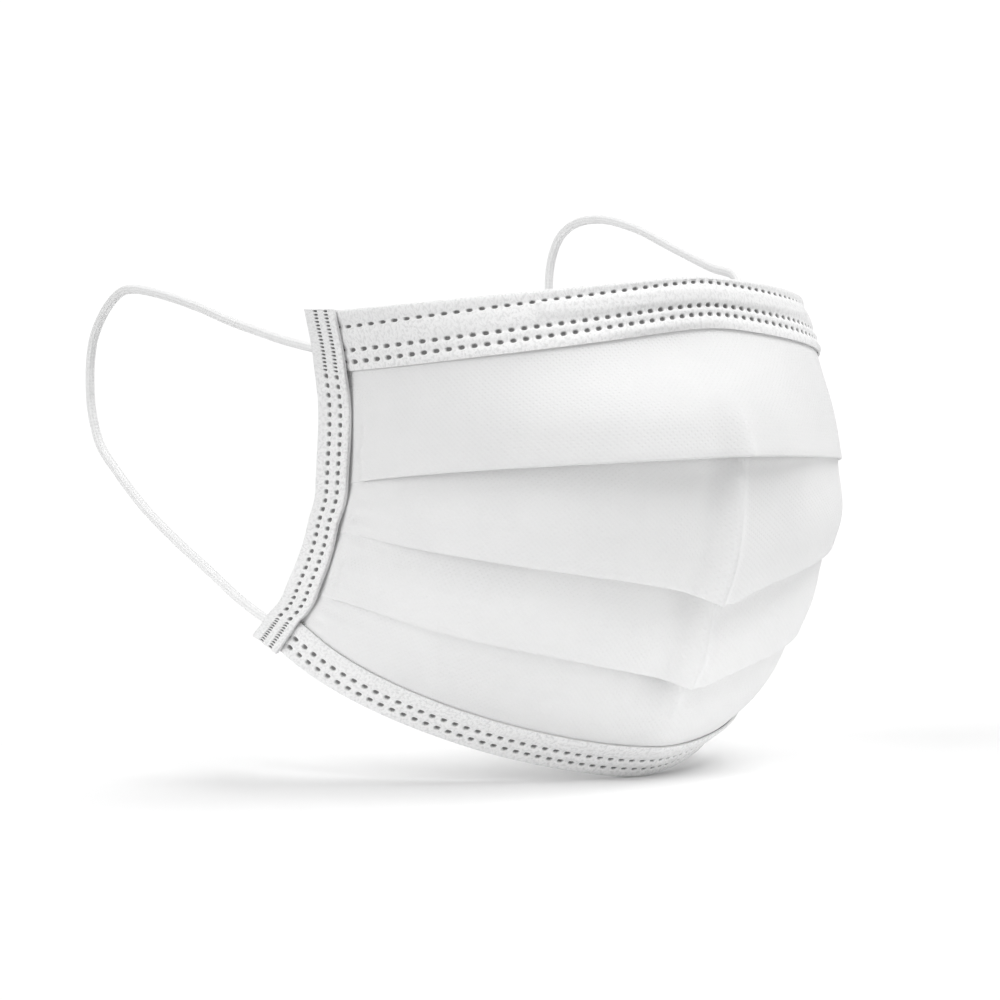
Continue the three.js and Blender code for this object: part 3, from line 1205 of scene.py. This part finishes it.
@dataclass
class Panel:
    """The pleated panel: one sheet whose three pleats are folded down and pressed at the sides."""

    form: MaskForm
    name: str = "Pleated_Panel"
    node: str = "pleated_panel"
    cloth: float = 0.4
    layer: float = 0.5  # from one folded layer to the next
    pressed: float = 0.1  # the same where the bindings are welded through them
    tuck: float = 6.0  # how deep each pleat is folded under
    gapes: tuple[float, ...] = (3.2, 2.6, 2.5)  # how far each fold stands open at its widest
    gape_middle: float = -0.15  # where across a fold gapes most
    gape_left: tuple[float, ...] = (0.86, 0.84, 0.86)  # how far that runs to the left
    gape_right: tuple[float, ...] = (0.46, 0.8, 0.85)
    rise: float = 30.0  # the stretch above a tuck over which the cloth climbs on to it
    inset: float = 1.3  # from the top and chin edges to the cloth's own edges
    cloth_end: float = 1.8
    flat_width: float = 0.190
    flat_height: float = 0.165

    def columns(self) -> np.ndarray:
        """Returns the places across, closer together at the ridge and by the bindings."""
        half = np.concatenate([
            np.linspace(0.0, 0.1, 37)[:-1],
            np.linspace(0.1, 0.88, 74)[:-1],
            np.linspace(0.88, 1.0, 20)[:-1],
            np.linspace(1.0, self.cloth_end, 6),
        ])
        return np.concatenate([-half[:0:-1], half])

    def opening(self, across: np.ndarray, fold: int) -> tuple[np.ndarray, np.ndarray]:
        """Returns a pleat's layer spacing and how far its fold stands open.

        Args:
            across: Places across.
            fold: The level line of its fold.

        Returns:
            Two arrays in millimetres.
        """
        away = np.clip(np.abs(across), 0, 1)
        layer = np.full_like(away, self.layer)
        if fold == FOLDS[1]:
            layer = lerp(self.layer, 0.3 * self.layer, blend(0.72, 0.9, away))
        layer = lerp(layer, self.pressed, blend(0.94, 0.965, away))
        off = across - self.gape_middle
        row = FOLDS.index(fold)
        reach = np.where(off < 0, self.gape_left[row], self.gape_right[row])
        gape = self.gapes[row] * np.clip(1 - (off / reach) ** 2, 0, 1) ** 1.5
        return layer, gape

    def rows(self, across: np.ndarray) -> tuple[np.ndarray, np.ndarray, np.ndarray]:
        """Works out the sheet's rows, from the top edge down through every fold.

        Args:
            across: The columns.

        Returns:
            Levels, distances out and chart heights, each with a row for each row of the sheet.
        """
        levels: list[np.ndarray] = []
        outs: list[np.ndarray] = []
        charts: list[np.ndarray] = []
        chart = 0.0

        def add(level: np.ndarray, out: np.ndarray, height: np.ndarray) -> None:
            """Adds one row.

            Args:
                level: Its levels.
                out: Its distances out of the cloth's middle surface.
                height: Its heights on the chart.
            """
            levels.append(level)
            outs.append(out)
            charts.append(height)

        start = self.inset / self.form.height(across, 0)
        for fold, count in zip(FOLDS, (34, 26, 24), strict=True):
            length = self.form.height(across, fold - 1)
            layer, gape = self.opening(across, fold)
            radius = layer / 2
            for k in range(count + 1):
                level = lerp(start, fold - radius / length, k / count)
                above = (fold - level) * length
                climb = np.minimum(self.tuck + self.rise, 0.97 * length)
                out = blend(0.0, 1.0, (climb - above) / (climb - self.tuck)) * (2 * layer + gape)
                add(level, out, chart - above)
            for angle in np.linspace(0, math.pi, 7)[1:]:
                down = radius * (math.sin(angle) - 1)
                out = 2 * layer + gape - radius * (1 - math.cos(angle))
                add(fold + down / length, out, chart + down)
            for share in np.linspace(0, 1, 6)[1:]:
                down = lerp(-radius, radius - self.tuck, share)
                add(fold + down / length, layer + gape * (1 - share), chart - down)
            for angle in np.linspace(0, math.pi, 7)[1:]:
                down = radius - self.tuck - radius * math.sin(angle)
                add(fold + down / length, layer - radius * (1 - math.cos(angle)), chart - down)
            next_length = self.form.height(across, fold)
            chart += 40.0
            for share in np.linspace(0, 1, 6)[1:-1]:
                down = lerp(radius - self.tuck, 0 * radius, share)
                add(fold + down / length, 0 * down, chart - next_length + down)
            start = np.full_like(across, float(fold))
        last = CHIN - self.inset / self.form.height(across, CHIN - 1)
        length = self.form.height(across, CHIN_BAND_EDGE - 1)
        for k in range(33):
            level = lerp(start, last, k / 32)
            add(level, 0 * across, chart - (CHIN_BAND_EDGE - level) * length)
        return np.stack(levels), np.stack(outs), np.stack(charts)

    def build(self) -> bpy.types.Object:
        """Builds the sheet, with its thickness.

        Returns:
            Its object, with the cloth's chart.
        """
        across = self.columns()
        levels, outs, heights = self.rows(across)
        points = self.form.place(np.broadcast_to(across, levels.shape), levels, outs)
        along = np.broadcast_to(across * self.form.drape.half_width, levels.shape)
        charts = {CLOTH_UV: np.stack([along, heights], axis=-1).reshape(-1, 2)}
        faces = grid_faces(*levels.shape, closed=False)
        panel = mesh_object(self.name, points.reshape(-1, 3), faces, charts)
        shell = panel.modifiers.new("Thickness", "SOLIDIFY")
        shell.thickness = self.cloth * MM
        shell.offset = 0.0
        shell.material_offset = 1
        return panel


@dataclass
class EarLoop:
    """A knitted elastic cord from one end of a binding round to the other."""

    name: str
    node: str
    route: tuple[tuple[float, float, float], ...]
    diameter: float = 2.4
    step: float = 0.3
    sides: int = 26
    wales: int = 9
    stitch: float = 0.9
    tab: float = 6.0  # the flattened stretch at each weld

    def path(self) -> np.ndarray:
        """Returns the centreline, in millimetres."""
        return Spline(self.route).evenly(self.step)

    def length(self) -> float:
        """Returns the cord's length in millimetres."""
        return float(np.linalg.norm(np.diff(self.path(), axis=0), axis=1).sum())

    def build(self) -> bpy.types.Object:
        """Builds the knitted tube, pressed flat at its two welds.

        Returns:
            Its object, with a chart of millimetres along and shares round.
        """
        line = self.path()
        tangent = np.gradient(line, axis=0)
        tangent /= np.linalg.norm(tangent, axis=1, keepdims=True)
        flat = np.array([1.0, 0.0, 0.0]) - tangent * tangent[:, :1]
        flat /= np.linalg.norm(flat, axis=1, keepdims=True)
        wide = np.cross(tangent, flat)
        passed = np.arange(len(line)) * self.step
        from_end = np.minimum(passed, passed[-1] - passed)[:, None]
        pressed = 1 - blend(self.tab * 0.55, self.tab, from_end)
        turn = np.linspace(0, 1, self.sides, endpoint=False)[None]
        wale = np.abs((turn * self.wales) % 1 - 0.5) * 2
        slant = np.abs((passed[:, None] / self.stitch + 0.5 * wale) % 1 - 0.5) * 2
        radius = self.diameter / 2 * (0.95 + 0.06 * (wale - 0.5) - 0.05 * slant * (1 - pressed))
        thin = radius * np.cos(2 * math.pi * turn) * lerp(1.0, 0.4, pressed)
        broad = radius * np.sin(2 * math.pi * turn) * lerp(1.0, 1.2, pressed)
        points = line[:, None] + thin[..., None] * flat[:, None] + broad[..., None] * wide[:, None]
        along = np.broadcast_to(passed[:, None], thin.shape)
        around = np.broadcast_to(turn, thin.shape)
        charts = {CLOTH_UV: np.stack([along, around], axis=-1).reshape(-1, 2)}
        first = np.arange(self.sides)
        caps = (first[::-1], first + (len(line) - 1) * self.sides)
        faces = grid_faces(len(line), self.sides, closed=True)
        return mesh_object(self.name, points.reshape(-1, 3), faces, charts, caps)


LEFT_ROUTE = (
    (-56, -13, 39.3), (-56.2, -6, 40.3), (-57.4, 1, 41.5), (-59, 9, 43), (-60, 18, 45),
    (-61, 29, 47.5), (-61.5, 40.5, 50.5), (-62, 52, 53), (-62.5, 62, 54.7), (-63, 69.5, 55.5),
    (-63, 75.5, 55), (-63, 81.5, 52), (-63, 86.5, 47.5), (-63, 89.5, 43), (-63, 91, 37.5),
    (-63, 91.3, 32), (-63, 90.8, 26.5), (-63, 89, 21), (-63, 86, 16), (-62.8, 79, 10.3),
    (-62.6, 72, 5.2), (-62.2, 65, 0.5), (-61.6, 52, -6.5), (-60.8, 39.5, -12.7),
    (-59.6, 28.5, -18.7), (-57.8, 19, -23.3), (-56.2, 14, -25), (-55.3, 9, -26.2),
    (-55.2, 5, -26.6),
)  # fmt: skip
RIGHT_ROUTE = (
    (55.2, -14, 37), (55.2, -14.5, 43), (55.3, -15.5, 49), (56.6, -17.3, 53), (58, -18, 56.5),
    (59, -15.3, 59), (59.3, -7.5, 60.8), (60.2, 1.5, 63.4), (60.8, 11, 66.5), (61.6, 24.5, 71),
    (62, 31, 72.6), (62.4, 38.5, 74), (62.6, 45, 74.4), (62.8, 51.5, 73.9), (63, 56.5, 72.4),
    (63, 60.5, 69.7), (63, 63, 66), (63, 64.5, 61.5), (63, 65, 56), (63, 64.8, 48),
    (63, 63.5, 39), (63, 61, 30), (62.8, 57.5, 21), (62.5, 52.5, 12), (62, 46, 3.5),
    (61.2, 38, -4.5), (60, 30, -11.5), (58.4, 23, -17.5), (56.8, 17.5, -22.3), (55.7, 13, -25),
    (55.3, 9, -26.2), (55.2, 5, -26.6),
)  # fmt: skip


def towards(azimuth: float, elevation: float) -> Vector:
    """Returns the direction from the mask to a place round it.

    Args:
        azimuth: Degrees round from the front, positive towards +X.
        elevation: Degrees above the floor.

    Returns:
        A unit vector.
    """
    turn, rise = math.radians(azimuth), math.radians(elevation)
    return Vector((math.sin(turn) * math.cos(rise), -math.cos(turn) * math.cos(rise), math.sin(rise)))


def aimed(name: str, data: bpy.types.ID, away: Vector) -> bpy.types.Object:
    """Adds a camera or lamp that looks back along a direction.

    Args:
        name: The object's name.
        data: The camera or lamp.
        away: The direction from the mask to it.

    Returns:
        The object.
    """
    holder = bpy.data.objects.new(name, data)
    holder.rotation_euler = (-away).to_track_quat("-Z", "Y").to_euler()
    bpy.context.scene.collection.objects.link(holder)
    return holder


@dataclass(frozen=True)
class Lamp:
    """A far, broad and even light."""

    name: str
    azimuth: float  # degrees round from the front, positive towards +X
    elevation: float  # degrees above the floor
    breadth: float  # degrees across, as the mask sees it
    strength: float  # watts on a square metre that faces it

    def place(self) -> None:
        """Adds the lamp, as a sun."""
        lamp = bpy.data.lights.new(self.name, "SUN")
        lamp.angle = math.radians(self.breadth)
        lamp.energy = self.strength
        aimed(self.name, lamp, towards(self.azimuth, self.elevation))


@dataclass(frozen=True)
class Studio:
    """The camera, the pale floor and the soft light."""

    azimuth: float = -37.0
    elevation: float = 2.6
    distance: float = 0.9
    target: tuple[float, float, float] = (0.0, 0.003, 0.004)
    lens: float = 132.84
    sensor: float = 36.0
    floor_radius: float = 0.2
    surround: float = 0.2  # how brightly the room round it lights the mask
    backdrop: float = 1.05  # how bright the room itself looks
    lamps: tuple[Lamp, ...] = (
        Lamp("Overhead", 5.0, 68.0, 45.0, 1.18),
        Lamp("Right", 75.0, 55.0, 40.0, 1.25),
        Lamp("Left", -90.0, 40.0, 40.0, 0.65),
        Lamp("Low_Right", 25.0, 6.0, 50.0, 0.95),
        Lamp("Low_Left", -95.0, 6.0, 50.0, 1.1),
    )

    def camera(self) -> None:
        """Adds the camera and makes it the scene's."""
        optics = bpy.data.cameras.new("Camera")
        optics.lens = self.lens
        optics.sensor_width = self.sensor
        optics.clip_start = 0.01
        optics.clip_end = 50.0
        away = towards(self.azimuth, self.elevation)
        holder = aimed("Camera", optics, away)
        holder.location = Vector(self.target) + away * self.distance
        bpy.context.scene.camera = holder

    def floor(self, lowest: float) -> None:
        """Adds the floor.

        Args:
            lowest: The height of the mask's lowest point, in metres.
        """
        made = bmesh.new()
        bmesh.ops.create_circle(made, cap_ends=True, segments=96, radius=self.floor_radius)
        mesh = bpy.data.meshes.new("Floor")
        made.to_mesh(mesh)
        made.free()
        floor = bpy.data.objects.new("Floor", mesh)
        floor.location = (0, 0, lowest)
        bpy.context.scene.collection.objects.link(floor)
        mesh.materials.append(StudioFinish("Pale_Paper").material())
        floor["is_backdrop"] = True

    def light(self) -> None:
        """Adds the surround and the lamps, and shows colours plainly."""
        recipe = Recipe(bpy.data.worlds.new("Surround"))
        seen = Field(recipe, recipe.add("ShaderNodeLightPath").outputs["Is Camera Ray"])
        strength = self.surround + seen * (self.backdrop - self.surround)
        room = recipe.add("ShaderNodeBackground", None, {"Color": grey(1.0), "Strength": strength})
        recipe.add("ShaderNodeOutputWorld", None, {"Surface": room.outputs["Background"]})
        scene = bpy.context.scene
        scene.world = recipe.owner
        scene.view_settings.view_transform = "Standard"
        scene.view_settings.look = "None"
        for lamp in self.lamps:
            lamp.place()


@dataclass
class FaceMask:
    """The whole mask: it builds each piece, dresses it and ties it to its CAD node."""

    form: MaskForm = field(default_factory=lambda: MaskForm(Drape()))

    def keep(self, piece: bpy.types.Object, node: str, slot: Slot, *finishes: bpy.types.Material) -> None:
        """Dresses a piece and says what it stands for.

        Args:
            piece: The piece.
            node: The CAD node that it replaces.
            slot: The record's slot. Not used.
            finishes: Its materials, in the order of its mesh's slots.
        """
        for finish in finishes:
            piece.data.materials.append(finish)
        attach(piece, BODY)
        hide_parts(node)
        log.info("%s stands for %s, %d faces", piece.name, node, len(piece.data.polygons))

    def add_loops(self) -> None:
        """Adds the two ear loops, as cords along their routes."""
        knit = ElasticFinish("Knitted_Elastic").material()
        for loop in (
            EarLoop("Ear_Loop_Left", "ear_loop_left", LEFT_ROUTE),
            EarLoop("Ear_Loop_Right", "ear_loop_right", RIGHT_ROUTE),
        ):
            cord = loop.build()
            self.keep(cord, loop.node, Slot.ELASTIC, knit)
            path = loop.path() * MM
            loop.length() * MM

    def add_strips(self) -> list[bpy.types.Object]:
        """Adds the two bands and the two bindings.

        Returns:
            Their objects.
        """
        welded = WeldedFinish("Welded_Band").material()
        dot, dash, spot = 0.51, 0.42, 0.62
        strips: list[FoldedStrip] = [
            Band(
                self.form, "Nose_Band", "nose_band", back=8.0, fold=0, down=1,
                welds=(WeldRow(0.12, 0.30, dash), WeldRow(0.56, 0.69, dot), WeldRow(0.73, 0.875, dot)),
                wire_reach=0.43, wire_lift=0.42, pitch_ends=4.3,
            ),
            Band(
                self.form, "Chin_Band", "chin_band", back=8.0, fold=CHIN, down=-1, pitch_ends=3.6,
                welds=(WeldRow(0.28, 0.28, spot), WeldRow(0.56, 0.56, spot)),
            ),
            *(
                Binding(
                    self.form, name, node, back=9.0, front_out=1.2, side=side, columns=8,
                    welds=(WeldRow(0.37, 0.37, spot), WeldRow(0.69, 0.69, spot)),
                )
                for side, name, node in (
                    (-1, "Side_Binding_Left", "side_binding_left"),
                    (1, "Side_Binding_Right", "side_binding_right"),
                )
            ),
        ]  # fmt: skip
        made = []
        for strip in strips:
            piece = strip.build()
            self.keep(piece, strip.node, Slot.BAND, welded)
            made.append(piece)
        return made

    def add_panel(self) -> None:
        """Adds the pleated panel.
        """
        panel = Panel(self.form)
        cloth = panel.build()
        outer = SpunbondFinish("Outer_Spunbond").material()
        inner = SpunbondFinish("Inner_Spunbond", tone=0.8, bond_tone=0.77, relief=0.00006).material()
        self.keep(cloth, panel.node, Slot.PANEL, outer, inner)

    def dress_wire(self) -> None:
        """Gives the nose wire, which stays as the CAD has it, its coated finish."""
        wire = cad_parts["nose_wire"]
        wire.data.materials.clear()
        wire.data.materials.append(WireFinish("Coated_Wire").material())
        log.info("nose_wire keeps its CAD mesh")

    def build(self) -> None:
        """Builds every piece, the cords first."""
        self.add_loops()
        strips = self.add_strips()
        self.add_panel()
        self.dress_wire()


def main() -> None:
    """Builds the studio and the mask, and sets the floor at the mask's lowest point."""
    logging.basicConfig(level=logging.INFO, format="%(name)s: %(message)s")
    studio = Studio()
    studio.camera()
    FaceMask().build()
    studio.floor(float(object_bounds()[0][2]))
    studio.light()
    bpy.context.view_layer.update()


if __name__ == "__main__":
    main()
